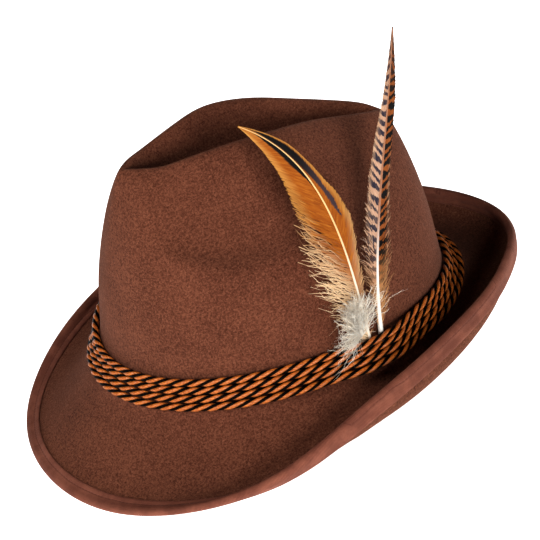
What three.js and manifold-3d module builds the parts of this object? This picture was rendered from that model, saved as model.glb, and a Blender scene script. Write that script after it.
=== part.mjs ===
// A tyrolean hat of brown wool felt, in millimetres, +Z up, standing on the plane z = 0
// as it does by itself: on the front edge of its brim and on the underside of the back.
//
// Everything is first worked out in the hat's own frame. Its plane z = 0 is the head line,
// where the crown turns into the brim. The front of the hat looks along -Y, the wearer's
// left is +X, and an angle round the crown is 0 at the front, 90 at the wearer's left and
// 180 at the back. At the end the whole hat is tipped until it rests.

import * as THREE from 'three';
import { mergeVertices } from 'three/addons/utils/BufferGeometryUtils.js';
import Module from 'manifold-3d';

// Driving dimensions

const HEAD_LENGTH = 200;        // inside the crown at the head line, front to back
const HEAD_WIDTH = 162;         // inside the crown at the head line, side to side
const FELT = 2;                 // wall of the felt
const CLEARANCE = 0.3;          // air between two pieces that touch

const CROWN_HEIGHT = 136;       // highest fold of the crown above the head line
const CREASE_LENGTH = 159;      // crease in the top of the crown, tip to tip
const CREASE_BACKSET = 2.5;     // middle of the crease behind the middle of the head
const CREASE_WIDTH = 46;        // crease between its two folds, at its widest
const CREASE_DEPTH = 30;        // crease below its folds, at its deepest
const FLOOR_INSET = 17;         // floor of the crease starts this far inside its tips
const FOLD_RADIUS = 6;          // roundness of the folds at the tips of the crease
const SHOULDER = 12;            // extra roundness of the folds where the crease is widest
const WALL_RISE = 40;           // height over which the crown wall starts out upright

const DENT_DEPTH = 9;           // finger dent on each side of the crown
const DENT_ANGLE = 68;          // middle of the dent, in degrees from the front
const DENT_SPREAD = 40;         // half width of the dent in degrees
const DENT_LIP = 0.41;          // lowest place of its lower lip, as a share of the wall
const DENT_CLIMB = 0.17;        // the lip climbs by this share of the wall to its two ends
const DENT_LEDGE = 0.03;        // the lip reaches its full depth over this share
const DENT_CORE = 0.3;          // it is fully deep up to this share of its half width
const DENT_FADE = 0.55;         // and it fades out from this share of the wall to the fold

const BRIM_START = 22;          // height at which the wall begins to turn into the brim
const BRIM_REACH = 54;          // front of the brim beyond the crown
const BRIM_DROP = 42;           // front edge of the brim below the head line

const TAPE_WIDTH = 8.5;         // binding tape seen on each side of the brim
const TAPE = 0.9;               // thickness of the tape
const TAPE_ROLL = 0.5;          // padding of its outer half over the inner half

const CORD_COUNT = 4;
const CORD_DIAMETER = 4.6;
const BAND_TOP = 22.5;          // upper edge of the cords above the head line
const BAND_WAVE = 3.5;          // cords dip by this at front and back, and climb at the sides

const PLUME_ANGLE = 103;        // where the feathers are tucked in, in degrees from the front
const QUILL_DIAMETER = 1.8;
const DOWN_QUILL = 0.9;         // flat quill of the down, which lies behind the other two
const QUILL_TUCK = 9;           // length of the quills behind the cords
const QUILL_SPACING = 2.9;      // middle to middle of the quills along the band

const HACKLE_LENGTH = 167;
const HACKLE_WIDTH = 30;
const TAIL_LENGTH = 171;
const TAIL_WIDTH = 17;
const DOWN_LENGTH = 44;         // tuft of down at the foot of the feathers
const HACKLE_LEAN_IN = 6;       // lean of a feather towards the crown, in degrees
const TAIL_LEAN_IN = 5;
const DOWN_LEAN_IN = 6;
const VANE = 0.9;               // thickness of a vane beside its shaft
const LOCK_WIDTH = 2.6;         // one lock of down or loose barbs at its root

const FLATTENING = 0.6;         // felt and tape give this much where the hat rests

// Fineness of the mesh

const COLUMNS = 56;             // steps round the hat
const CORD_SIDES = 8;
const SHAFT_STEPS = 48;         // steps along the shaft of a feather
const HALVINGS = 36;            // steps of a search between two limits
const STEP_ANGLE = 360 / COLUMNS;

// Brim, a row for each 30 degrees from the front to the back of one side. The brim leaves
// the wall at BRIM_START and ends at its edge, which is the outside of the tape. reach,
// start and end are shares of BRIM_REACH: how far the edge stands out, and how strongly the
// curve holds on to the upright wall and to the direction of the edge. rise is a share of
// BRIM_DROP. heading is the direction of the brim at its edge, in degrees above level, and
// past 90 it rolls back.
const BRIM = [
  { angle: 0, reach: 0.99, rise: -1.0, heading: -42, start: 0.43, end: 0.29 },
  { angle: 30, reach: 1.0, rise: -0.87, heading: 5, start: 0.46, end: 0.33 },
  { angle: 60, reach: 0.9, rise: -0.43, heading: 70, start: 0.52, end: 0.48 },
  { angle: 90, reach: 0.59, rise: 0.2, heading: 110, start: 0.61, end: 0.72 },
  { angle: 120, reach: 0.42, rise: 0.34, heading: 114, start: 0.62, end: 0.74 },
  { angle: 150, reach: 0.6, rise: 0.38, heading: 108, start: 0.57, end: 0.62 },
  { angle: 180, reach: 0.89, rise: 0.31, heading: 118, start: 0.51, end: 0.54 },
];

// Folds beside the crease, from its front tip to its back tip. along is a share of
// CREASE_LENGTH, width of CREASE_WIDTH, height of CROWN_HEIGHT and depth of CREASE_DEPTH.
const CREASE = [
  { along: 0, width: 0, height: 0.955, depth: 0.06 },
  { along: 0.05, width: 0.27, height: 0.958, depth: 0.2 },
  { along: 0.12, width: 0.52, height: 0.957, depth: 0.45 },
  { along: 0.25, width: 0.77, height: 0.983, depth: 0.85 },
  { along: 0.4, width: 1, height: 1, depth: 1 },
  { along: 0.55, width: 0.9, height: 0.977, depth: 0.97 },
  { along: 0.7, width: 0.62, height: 0.93, depth: 0.8 },
  { along: 0.85, width: 0.43, height: 0.872, depth: 0.5 },
  { along: 0.95, width: 0.25, height: 0.83, depth: 0.22 },
  { along: 1, width: 0, height: 0.8, depth: 0.06 },
];

// Feathers, from where they leave the cords to the tip. along is a share of the length,
// front and back are the two halves of the vane as shares of the width. lean is the
// direction of the shaft in degrees from upright, towards the back of the hat.
const HACKLE = [
  { along: 0, front: 0.05, back: 0.05, lean: -7 },
  { along: 0.14, front: 0.2, back: 0.12, lean: -4.5 },
  { along: 0.28, front: 0.36, back: 0.26, lean: -5 },
  { along: 0.42, front: 0.42, back: 0.38, lean: -12 },
  { along: 0.56, front: 0.42, back: 0.4, lean: -20 },
  { along: 0.7, front: 0.38, back: 0.34, lean: -25 },
  { along: 0.82, front: 0.28, back: 0.24, lean: -32 },
  { along: 0.92, front: 0.14, back: 0.12, lean: -47 },
  { along: 1, front: 0.02, back: 0.02, lean: -57 },
];
const TAIL = [
  { along: 0, front: 0.07, back: 0.07, lean: 6 },
  { along: 0.12, front: 0.2, back: 0.3, lean: 9.5 },
  { along: 0.24, front: 0.42, back: 0.48, lean: 14 },
  { along: 0.38, front: 0.48, back: 0.48, lean: 17.5 },
  { along: 0.52, front: 0.46, back: 0.42, lean: 19 },
  { along: 0.66, front: 0.36, back: 0.38, lean: 19 },
  { along: 0.78, front: 0.2, back: 0.36, lean: 18.5 },
  { along: 0.9, front: 0.1, back: 0.2, lean: 18 },
  { along: 1, front: 0.02, back: 0.02, lean: 18 },
];

// Locks of loose barbs. at is where the lock leaves the shaft, as a share of the shaft's
// length, turn is its direction in degrees from the shaft towards the back of the hat, and
// length is a share of DOWN_LENGTH.
const HACKLE_LOCKS = [
  { at: 0.1, turn: -62, length: 0.62 },
  { at: 0.16, turn: -50, length: 0.72 },
  { at: 0.22, turn: -44, length: 0.7 },
  { at: 0.3, turn: -38, length: 0.6 },
];
const TAIL_LOCKS = [
  { at: 0.08, turn: 55, length: 0.4 },
  { at: 0.14, turn: 42, length: 0.55 },
  { at: 0.2, turn: 30, length: 0.55 },
];
const DOWN = [
  { along: 0, front: 0.12, back: 0.12, lean: 0 },
  { along: 1, front: 0.12, back: 0.12, lean: 0 },
];
const DOWN_LOCKS = [
  { at: 0.1, turn: -75, length: 0.5 },
  { at: 0.16, turn: -52, length: 0.72 },
  { at: 0.2, turn: -32, length: 0.8 },
  { at: 0.24, turn: -14, length: 0.72 },
  { at: 0.24, turn: 14, length: 0.62 },
  { at: 0.2, turn: 38, length: 0.6 },
  { at: 0.14, turn: 64, length: 0.5 },
];

// Helpers

const toRadians = THREE.MathUtils.degToRad;
const smoothstep = THREE.MathUtils.smoothstep;
const UP = new THREE.Vector3(0, 0, 1);

// The value between two limits at which a test that holds at the low one stops to hold.
function turningPoint(low, high, holds) {
  let near = low;
  let far = high;
  for (let i = 0; i < HALVINGS; i += 1) {
    const halfway = (near + far) / 2;
    if (holds(halfway)) near = halfway;
    else far = halfway;
  }
  return (near + far) / 2;
}

// A smooth curve through one column of a table, read at any value of its key column.
function readTable(table, key, column, at) {
  let i = 0;
  while (i < table.length - 2 && at > table[i + 1][key]) i += 1;
  const slope = (a, b) => (table[b][column] - table[a][column]) / (table[b][key] - table[a][key]);
  const left = i > 0 ? slope(i - 1, i + 1) : slope(i, i + 1);
  const right = i < table.length - 2 ? slope(i, i + 2) : slope(i, i + 1);
  const width = table[i + 1][key] - table[i][key];
  const t = (at - table[i][key]) / width;
  const start = table[i][column];
  const end = table[i + 1][column];
  return start * (1 + 2 * t) * (1 - t) ** 2 + end * t * t * (3 - 2 * t)
    + width * (left * t * (1 - t) ** 2 - right * t * t * (1 - t));
}

// The brim's table runs down one side; the other side mirrors it, so its slopes at the
// front and the back are level.
function readBrim(column, angle) {
  const folded = angle > 180 ? 360 - angle : angle;
  const mirrored = [{ ...BRIM[1], angle: -BRIM[1].angle }, ...BRIM,
    { ...BRIM[BRIM.length - 2], angle: 360 - BRIM[BRIM.length - 2].angle }];
  return readTable(mirrored, 'angle', column, folded);
}

// A point on the oval of the head, moved out by offset and up to height.
function onOval(angle, offset, height) {
  const turn = toRadians(angle);
  return new THREE.Vector3(
    (HEAD_WIDTH / 2 + FELT + offset) * Math.sin(turn),
    -(HEAD_LENGTH / 2 + FELT + offset) * Math.cos(turn),
    height,
  );
}

// A closed skin over a grid of points, grid[row][column], whose columns run round the hat.
// The two halves of the hat split their quads in mirrored ways.
function gridFaces(grid, flip) {
  const triangles = [];
  for (let row = 0; row + 1 < grid.length; row += 1) {
    const columns = grid[row].length;
    for (let column = 0; column < columns; column += 1) {
      const next = (column + 1) % columns;
      const a = grid[row][column];
      const b = grid[row][next];
      const c = grid[row + 1][next];
      const d = grid[row + 1][column];
      const pair = column < columns / 2 ? [[a, b, c], [a, c, d]] : [[a, b, d], [b, c, d]];
      triangles.push(...(flip ? pair.map((face) => [face[0], face[2], face[1]]) : pair));
    }
  }
  return triangles;
}

function geometryOf(triangles) {
  const geometry = new THREE.BufferGeometry();
  const numbers = triangles.flat().flatMap((point) => [point.x, point.y, point.z]);
  geometry.setAttribute('position', new THREE.Float32BufferAttribute(numbers, 3));
  return mergeVertices(geometry);
}

// A closed skin over sections that follow each other, with flat ends, or joined last to
// first as a ring.
function sectionFaces(sections, ring) {
  const triangles = [];
  const count = sections.length;
  const last = ring ? count : count - 1;
  for (let i = 0; i < last; i += 1) {
    const near = sections[i];
    const far = sections[(i + 1) % count];
    for (let side = 0; side < near.length; side += 1) {
      const next = (side + 1) % near.length;
      triangles.push([near[side], near[next], far[next]], [near[side], far[next], far[side]]);
    }
  }
  if (!ring) {
    const start = sections[0];
    const end = sections[count - 1];
    for (let side = 1; side + 1 < start.length; side += 1) {
      triangles.push([start[0], start[side + 1], start[side]]);
      triangles.push([end[0], end[side], end[side + 1]]);
    }
  }
  return triangles;
}

// Felt body

// Brim in one upright section: offset from the oval and height, from the wall to the edge.
function brimCurve(angle) {
  const heading = toRadians(readBrim('heading', angle));
  const edge = new THREE.Vector2(
    BRIM_REACH * readBrim('reach', angle),
    BRIM_DROP * readBrim('rise', angle),
  );
  const hold = BRIM_REACH * readBrim('end', angle);
  return new THREE.CubicBezierCurve(
    new THREE.Vector2(0, BRIM_START),
    new THREE.Vector2(0, BRIM_START - BRIM_REACH * readBrim('start', angle)),
    new THREE.Vector2(edge.x - hold * Math.cos(heading), edge.y - hold * Math.sin(heading)),
    edge,
  );
}

// Point of the fold beside the crease, where the section at this angle crosses it.
function foldPoint(angle) {
  const share = (1 - Math.cos(toRadians(angle))) / 2;
  const side = Math.sign(Math.sin(toRadians(angle))) || 0;
  return new THREE.Vector3(
    side * CREASE_WIDTH / 2 * readTable(CREASE, 'along', 'width', share),
    CREASE_BACKSET + CREASE_LENGTH * (share - 0.5),
    CROWN_HEIGHT * readTable(CREASE, 'along', 'height', share),
  );
}

function floorPoint(angle) {
  const share = (1 - Math.cos(toRadians(angle))) / 2;
  const length = CREASE_LENGTH - 2 * FLOOR_INSET;
  const reached = FLOOR_INSET / CREASE_LENGTH + share * length / CREASE_LENGTH;
  return new THREE.Vector3(
    0,
    CREASE_BACKSET + length * (share - 0.5),
    CROWN_HEIGHT * readTable(CREASE, 'along', 'height', reached)
      - CREASE_DEPTH * readTable(CREASE, 'along', 'depth', reached),
  );
}

// Level direction away from the crease, square to its fold.
function foldOutward(angle) {
  const step = STEP_ANGLE / 2;
  const along = foldPoint(angle + step).sub(foldPoint(angle - step));
  return new THREE.Vector3(along.y, -along.x, 0).normalize();
}

// The dent's place at an angle: how far aside of its middle it is, 1 at its ends, and the
// share of the wall at which its lower lip lies.
function dentLip(angle) {
  const folded = angle > 180 ? 360 - angle : angle;
  const aside = Math.min(Math.abs(folded - DENT_ANGLE) / DENT_SPREAD, 1);
  return { aside, lip: DENT_LIP + DENT_CLIMB * aside * aside };
}

// How far the dent is pressed in at an angle and at a share of the wall. Its lower lip is
// sharp and curved like a crescent; above, it fades out below the fold.
function dentAt(angle, share) {
  const { aside, lip } = dentLip(angle);
  const spread = 1 - smoothstep(aside, DENT_CORE, 1);
  const ledge = smoothstep(share, lip - DENT_LEDGE / 5, lip + DENT_LEDGE);
  return DENT_DEPTH * spread * ledge * (1 - smoothstep(share, DENT_FADE, 1));
}

// Rows of the outer side of the felt, from the edge of the brim over the wall and the
// fold to the floor of the crease. The rows of the wall are shares of it. They rise and
// fall with the lip of the dent, which always lies on the same one.
const TAPE_NOSE = CLEARANCE + TAPE + TAPE_ROLL;
const EDGE_ROWS = [0, TAPE_WIDTH / 2, TAPE_WIDTH];
const BRIM_ROWS = 7;
const LIP_ROW = 0.42;
const WALL_ROWS = [0.15, 0.29, 0.385, LIP_ROW, 0.446, 0.51, 0.62, 0.77, 0.91, 1];
const CREASE_ROWS = [0.2, 0.45, 0.72, 1];

function wallShare(angle, row) {
  const { lip } = dentLip(angle);
  return row < LIP_ROW ? row * lip / LIP_ROW : 1 - (1 - row) * (1 - lip) / (1 - LIP_ROW);
}

// Rows of the brim in one upright section, from the edge of the felt to the wall.
function brimRows(angle) {
  const brim = brimCurve(angle);
  const total = brim.getLength();
  const length = total - TAPE_NOSE;
  const rest = length - EDGE_ROWS.at(-1);
  const fromEdge = Array.from({ length: BRIM_ROWS }, (_, i) => length - rest * (1 - (i + 1) / BRIM_ROWS));
  return [...EDGE_ROWS, ...fromEdge].map((distance) => brim.getPointAt((length - distance) / total));
}

function outerColumn(angle) {
  const points = brimRows(angle).map((at) => onOval(angle, at.x, at.y));

  const fold = foldPoint(angle);
  const outward = foldOutward(angle);
  const foot = onOval(angle, 0, BRIM_START);
  const shoulder = FOLD_RADIUS + SHOULDER * Math.abs(fold.x) / (CREASE_WIDTH / 2);
  const wall = new THREE.CubicBezierCurve3(
    foot,
    foot.clone().addScaledVector(UP, WALL_RISE),
    fold.clone().addScaledVector(outward, shoulder),
    fold,
  );
  const inward = onOval(angle, -1, 0).sub(onOval(angle, 0, 0));
  WALL_ROWS.forEach((row) => {
    const share = wallShare(angle, row);
    points.push(wall.getPoint(share).addScaledVector(inward, dentAt(angle, share)));
  });

  const floor = floorPoint(angle);
  const crease = new THREE.CubicBezierCurve3(
    fold,
    fold.clone().addScaledVector(outward, -FOLD_RADIUS),
    floor.clone().lerp(new THREE.Vector3(fold.x, fold.y, floor.z), 0.5),
    floor,
  );
  CREASE_ROWS.forEach((share) => points.push(crease.getPoint(share)));
  return points;
}

function outerGrid() {
  const columns = Array.from({ length: COLUMNS }, (_, i) => outerColumn(i * STEP_ANGLE));
  return columns[0].map((_, row) => columns.map((column) => column[row]));
}

// Outward normal at each point of the grid. On the floor of the crease both sides meet, so
// the neighbour across it is the mirrored column.
function gridNormals(grid) {
  const lastRow = grid.length - 1;
  return grid.map((points, row) => points.map((point, column) => {
    const tip = column % (COLUMNS / 2) === 0;
    const level = row === lastRow && tip ? row - 1 : row;
    const before = grid[level][(column + COLUMNS - 1) % COLUMNS];
    const after = grid[level][(column + 1) % COLUMNS];
    const around = after.clone().sub(before);
    const below = grid[Math.max(row - 1, 0)][column];
    const mirrored = (COLUMNS - column) % COLUMNS;
    const above = row === lastRow ? (tip ? point : grid[row - 1][mirrored]) : grid[row + 1][column];
    return around.cross(above.clone().sub(below)).normalize();
  }));
}

function feltBody(outer, normals) {
  const inner = outer.map((points, row) => points.map(
    (point, column) => point.clone().addScaledVector(normals[row][column], -FELT),
  ));
  return geometryOf([
    ...gridFaces(outer, false),
    ...gridFaces(inner, true),
    ...gridFaces([inner[0], outer[0]], false),
  ]);
}

// Binding tape folded over the edge of the brim

// Outside of the tape on each face of the brim, from the edge inwards. across is the
// distance from the edge as a share of TAPE_WIDTH, and tape and roll are the height over
// the felt, in thicknesses of the tape and of its padded outer half. The line of stitches
// lies in the groove at half width.
const TAPE_FACE = [
  { across: 0.2, tape: 1, roll: 1 },
  { across: 0.5, tape: 0.6, roll: 0 },
  { across: 0.75, tape: 1, roll: 0.3 },
  { across: 1, tape: 1, roll: 0 },
];

// Round nose of the tape, from the underside over the edge to the top. tape is the height
// over the felt in thicknesses of the tape, and past is a share of TAPE_NOSE.
const NOSE_SHOULDER = { tape: 0.6, past: 0.7 };

function brimBinding(outer, normals) {
  // A ring of points along the brim: across the tape, above the felt and past its edge.
  const rowOf = (across, above, past) => {
    const row = across > 0.5 ? 1 : 0;
    const share = (across * TAPE_WIDTH - EDGE_ROWS[row]) / (EDGE_ROWS[row + 1] - EDGE_ROWS[row]);
    return outer[row].map((point, column) => {
      const beyond = outer[0][column].clone().sub(outer[1][column]).normalize();
      const normal = normals[row][column].clone().lerp(normals[row + 1][column], share).normalize();
      return point.clone().lerp(outer[row + 1][column], share)
        .addScaledVector(normal, above)
        .addScaledVector(beyond, past);
    });
  };
  const under = -FELT - CLEARANCE;
  const height = (row) => TAPE * row.tape + TAPE_ROLL * row.roll;
  const shares = [0.5, 1];
  const topInside = [rowOf(0, CLEARANCE, CLEARANCE), ...shares.map((across) => rowOf(across, CLEARANCE, 0))];
  const underInside = [rowOf(0, under, CLEARANCE), ...shares.map((across) => rowOf(across, under, 0))];
  const topOutside = TAPE_FACE.map((row) => rowOf(row.across, CLEARANCE + height(row), 0));
  const underOutside = TAPE_FACE.map((row) => rowOf(row.across, under - height(row), 0));
  const nose = [
    underOutside[0],
    rowOf(0, under - TAPE * NOSE_SHOULDER.tape, TAPE_NOSE * NOSE_SHOULDER.past),
    rowOf(0, -FELT / 2, TAPE_NOSE),
    rowOf(0, CLEARANCE + TAPE * NOSE_SHOULDER.tape, TAPE_NOSE * NOSE_SHOULDER.past),
    topOutside[0],
  ];
  return geometryOf([
    ...gridFaces(topOutside, false),
    ...gridFaces(underOutside, true),
    ...gridFaces(topInside, true),
    ...gridFaces(underInside, false),
    ...gridFaces(nose, false),
    ...gridFaces([underInside[0], topInside[0]], true),
    ...gridFaces([topOutside.at(-1), topInside.at(-1)], false),
    ...gridFaces([underInside.at(-1), underOutside.at(-1)], false),
  ]);
}

// Cords round the foot of the crown

// Height of the top of the band at an angle.
function bandTop(angle) {
  return BAND_TOP - BAND_WAVE * Math.cos(2 * toRadians(angle));
}

// Side of the crown at the band in one section: a curve of offset and height that runs
// downwards from SECTION_TOP, and the same side as the straight steps that the felt takes.
const SECTION_TOP = 2 * BRIM_START;

function bandSection(angle) {
  const above = new THREE.Vector2(0, SECTION_TOP);
  const curve = new THREE.CurvePath();
  curve.add(new THREE.LineCurve(above, new THREE.Vector2(0, BRIM_START)));
  curve.add(brimCurve(angle));
  return { curve, length: curve.getLength(), steps: [...brimRows(angle), above] };
}

function distanceToSteps(steps, point) {
  return Math.min(...steps.slice(1).map((end, i) => {
    const along = end.clone().sub(steps[i]);
    const share = point.clone().sub(steps[i]).dot(along) / along.lengthSq();
    return steps[i].clone().lerp(end, THREE.MathUtils.clamp(share, 0, 1)).distanceTo(point);
  }));
}

// Point at a distance from the felt, opposite a place on the curve. The steps cut inside
// the curve or outside it, so the point is set right a few times.
const CORRECTIONS = 4;

function besideFelt({ curve, length, steps }, along, distance) {
  const at = curve.getPointAt(along / length);
  const tangent = curve.getTangentAt(along / length);
  const outward = new THREE.Vector2(-tangent.y, tangent.x);
  const point = at.clone().addScaledVector(outward, distance);
  for (let i = 0; i < CORRECTIONS; i += 1) {
    point.addScaledVector(outward, distance - distanceToSteps(steps, point));
  }
  return point;
}

// The cords stand out over the quills that are tucked behind them, and come back to the
// felt between these two distances from the plume, in columns.
const ROOM_KEPT = 1.1;
const ROOM_LOST = 2.6;

function quillRoom(angle) {
  const aside = Math.abs(angle - PLUME_ANGLE) / STEP_ANGLE;
  const room = DOWN_QUILL + QUILL_DIAMETER + 2 * CLEARANCE;
  return room * (1 - smoothstep(aside, ROOM_KEPT, ROOM_LOST));
}

// Middles of the cords in one section: the top one hangs below the top of the band, and
// each next one touches the last.
function cordMiddles(angle) {
  const section = bandSection(angle);
  const distance = CORD_DIAMETER / 2 + CLEARANCE;
  const pitch = CORD_DIAMETER + CLEARANCE;
  let along = SECTION_TOP - bandTop(angle) + CORD_DIAMETER / 2;
  const middles = [besideFelt(section, along, distance)];
  while (middles.length < CORD_COUNT) {
    const last = middles[middles.length - 1];
    const tooNear = (place) => besideFelt(section, place, distance).distanceTo(last) < pitch;
    along = turningPoint(along, along + 2 * pitch, tooNear);
    middles.push(besideFelt(section, along, distance));
  }
  return middles;
}

function cordRing(index, middles) {
  const sections = middles.map((section, column) => {
    const angle = column * STEP_ANGLE;
    const middle = section[index];
    const out = middle.x + quillRoom(angle);
    return Array.from({ length: CORD_SIDES }, (_, side) => {
      const turn = (2 * Math.PI * (side + 0.5)) / CORD_SIDES;
      const radius = CORD_DIAMETER / 2;
      return onOval(angle, out + radius * Math.cos(turn), middle.y - radius * Math.sin(turn));
    });
  });
  return geometryOf(sectionFaces(sections, true));
}

// Feathers

// Shaft of a feather: points and the two directions across it. It starts behind the
// cords, lies on the felt there, and then follows its table.
function shaftPath({ table, length, leanIn, shift, lift }) {
  const angle = PLUME_ANGLE + shift;
  const section = bandSection(angle);
  const top = SECTION_TOP - bandTop(angle);
  const tucked = [QUILL_TUCK, QUILL_TUCK / 2, 0].map((down) => {
    const at = besideFelt(section, top + down, lift);
    return onOval(angle, at.x, at.y);
  });
  const outward = onOval(angle, 1, 0).sub(onOval(angle, 0, 0)).normalize();
  const rear = new THREE.Vector3(-outward.y, outward.x, 0);
  const point = tucked[2].clone();
  const points = [{ along: 0, point: point.clone(), direction: UP.clone() }];
  for (let i = 1; i <= SHAFT_STEPS; i += 1) {
    const along = i / SHAFT_STEPS;
    const lean = toRadians(readTable(table, 'along', 'lean', along));
    const direction = UP.clone()
      .addScaledVector(rear, Math.tan(lean))
      .addScaledVector(outward, -Math.tan(toRadians(leanIn)))
      .normalize();
    point.addScaledVector(direction, length / SHAFT_STEPS);
    points.push({ along, point: point.clone(), direction });
  }
  return { tucked, points, outward };
}

function shaftAt(shaft, share) {
  const place = share * (shaft.points.length - 1);
  const index = Math.min(Math.floor(place), shaft.points.length - 2);
  const a = shaft.points[index];
  const b = shaft.points[index + 1];
  const point = a.point.clone().lerp(b.point, place - index);
  const direction = b.direction;
  const face = shaft.outward.clone().addScaledVector(direction, -shaft.outward.dot(direction)).normalize();
  const across = face.clone().cross(direction).multiplyScalar(-1).normalize();
  return { point, direction, face, across };
}

// Diamond section of a vane or lock: front edge, face, back edge, reverse.
function diamond(point, across, face, front, back, half) {
  return [
    point.clone().addScaledVector(across, -front),
    point.clone().addScaledVector(face, half),
    point.clone().addScaledVector(across, back),
    point.clone().addScaledVector(face, -half),
  ];
}

// The vane is thick at the quill and comes down to a third of VANE at the tip and edges.
const THIN_EDGE = VANE / 3;

function vaneFaces(shaft, { table, width, quill }) {
  const radius = quill / 2;
  const foot = shaftAt(shaft, 0);
  const sections = shaft.tucked.slice(0, 2).map(
    (point) => diamond(point, foot.across, foot.face, radius, radius, radius),
  );
  table.forEach((row) => {
    const { point, across, face } = shaftAt(shaft, row.along);
    const taper = THREE.MathUtils.lerp(radius, THIN_EDGE, Math.sqrt(row.along));
    sections.push(diamond(
      point, across, face,
      Math.max(width * row.front, THIN_EDGE),
      Math.max(width * row.back, THIN_EDGE),
      taper,
    ));
  });
  return sectionFaces(sections, false);
}

// One lock of loose barbs, rooted in the shaft and bent a little back towards its line. Its
// sections are shares of LOCK_WIDTH, and each one bends by LOCK_BEND of the lock's turn.
const LOCK_SECTIONS = [1, 0.9, 0.6, 0.12];
const LOCK_BEND = 0.18;

function lockFaces(shaft, row) {
  const { point, direction, face, across } = shaftAt(shaft, row.at);
  const length = DOWN_LENGTH * row.length;
  const spot = point.clone();
  const sections = [];
  LOCK_SECTIONS.forEach((share, i) => {
    const turn = toRadians(row.turn * (1 - LOCK_BEND * i));
    const way = direction.clone().multiplyScalar(Math.cos(turn)).addScaledVector(across, Math.sin(turn));
    const side = face.clone().cross(way).multiplyScalar(-1).normalize();
    const half = LOCK_WIDTH / 2 * share;
    sections.push(diamond(spot, side, face, half, half, VANE / 2 * share));
    spot.addScaledVector(way, length / (LOCK_SECTIONS.length - 1));
  });
  return sectionFaces(sections, false);
}

const manifold = await Module();
manifold.setup();

function toSolid(triangles) {
  const geometry = geometryOf(triangles);
  return new manifold.Manifold(new manifold.Mesh({
    numProp: 3,
    vertProperties: new Float32Array(geometry.attributes.position.array),
    triVerts: new Uint32Array(geometry.index.array),
  }));
}

function fromSolid(solid) {
  const mesh = solid.getMesh();
  const geometry = new THREE.BufferGeometry();
  geometry.setAttribute('position', new THREE.BufferAttribute(mesh.vertProperties, 3));
  geometry.setIndex(new THREE.BufferAttribute(mesh.triVerts, 1));
  return geometry;
}

// A feather is one solid: its vane and shaft with the loose locks at its foot.
function feather(sizes) {
  const shaft = shaftPath(sizes);
  const vane = toSolid(vaneFaces(shaft, sizes));
  return fromSolid(sizes.locks.reduce((solid, row) => solid.add(toSolid(lockFaces(shaft, row))), vane));
}

// Assembly

const materials = {
  felt: new THREE.MeshStandardMaterial({ color: 0x7c4634, roughness: 0.95, metalness: 0 }),
  tape: new THREE.MeshStandardMaterial({ color: 0x875443, roughness: 0.85, metalness: 0 }),
  cord: new THREE.MeshStandardMaterial({ color: 0xc77a3c, roughness: 0.6, metalness: 0 }),
  hackle: new THREE.MeshStandardMaterial({ color: 0xd08a45, roughness: 0.6, metalness: 0 }),
  tail: new THREE.MeshStandardMaterial({ color: 0xb08868, roughness: 0.6, metalness: 0 }),
  down: new THREE.MeshStandardMaterial({ color: 0xe6d6c4, roughness: 0.9, metalness: 0 }),
};

const outer = outerGrid();
const normals = gridNormals(outer);
const middles = Array.from({ length: COLUMNS }, (_, i) => cordMiddles(i * STEP_ANGLE));

// Degrees round the band for one spacing of the quills.
const quillStep = THREE.MathUtils.radToDeg(
  QUILL_SPACING / onOval(PLUME_ANGLE, 0, 0).distanceTo(new THREE.Vector3()),
);
const downLift = CLEARANCE + DOWN_QUILL / 2;
const featherLift = downLift + DOWN_QUILL / 2 + CLEARANCE + QUILL_DIAMETER / 2;

const pieces = [
  { name: 'felt_body', geometry: feltBody(outer, normals), material: 'felt', soft: true },
  {
    name: 'brim_binding',
    geometry: brimBinding(outer, normals),
    material: 'tape',
    soft: true,
  },
  ...Array.from({ length: CORD_COUNT }, (_, i) => (
    { name: `cord_${i + 1}`, geometry: cordRing(i, middles), material: 'cord' }
  )),
  {
    name: 'feather_hackle',
    geometry: feather({
      table: HACKLE,
      length: HACKLE_LENGTH,
      width: HACKLE_WIDTH,
      leanIn: HACKLE_LEAN_IN,
      shift: -quillStep,
      lift: featherLift,
      quill: QUILL_DIAMETER,
      locks: HACKLE_LOCKS,
    }),
    material: 'hackle',
  },
  {
    name: 'feather_tail',
    geometry: feather({
      table: TAIL,
      length: TAIL_LENGTH,
      width: TAIL_WIDTH,
      leanIn: TAIL_LEAN_IN,
      shift: quillStep,
      lift: featherLift,
      quill: QUILL_DIAMETER,
      locks: TAIL_LOCKS,
    }),
    material: 'tail',
  },
  {
    name: 'feather_down',
    geometry: feather({
      table: DOWN,
      length: DOWN_LENGTH,
      width: LOCK_WIDTH * 3,
      leanIn: DOWN_LEAN_IN,
      shift: 0,
      lift: downLift,
      quill: DOWN_QUILL,
      locks: DOWN_LOCKS,
    }),
    material: 'down',
  },
];

// The hat tips about X until its front and its back reach equally low.
function lowest(positions, pitch, front) {
  let low = Infinity;
  for (let i = 0; i < positions.count; i += 1) {
    const y = positions.getY(i);
    if ((y < 0) === front) low = Math.min(low, y * Math.sin(pitch) + positions.getZ(i) * Math.cos(pitch));
  }
  return low;
}

const STEEPEST_PITCH = 30;

function restingPitch(resting) {
  const reach = (pitch, front) => Math.min(...resting.map((p) => lowest(p, pitch, front)));
  const frontIsHigher = (pitch) => reach(pitch, true) > reach(pitch, false);
  return turningPoint(toRadians(-STEEPEST_PITCH), toRadians(STEEPEST_PITCH), frontIsHigher);
}

const resting = pieces.filter((piece) => piece.soft).map((piece) => piece.geometry.attributes.position);
const pitch = restingPitch(resting);
const settle = new THREE.Matrix4().makeRotationX(pitch);
pieces.forEach((piece) => piece.geometry.applyMatrix4(settle));

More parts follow.
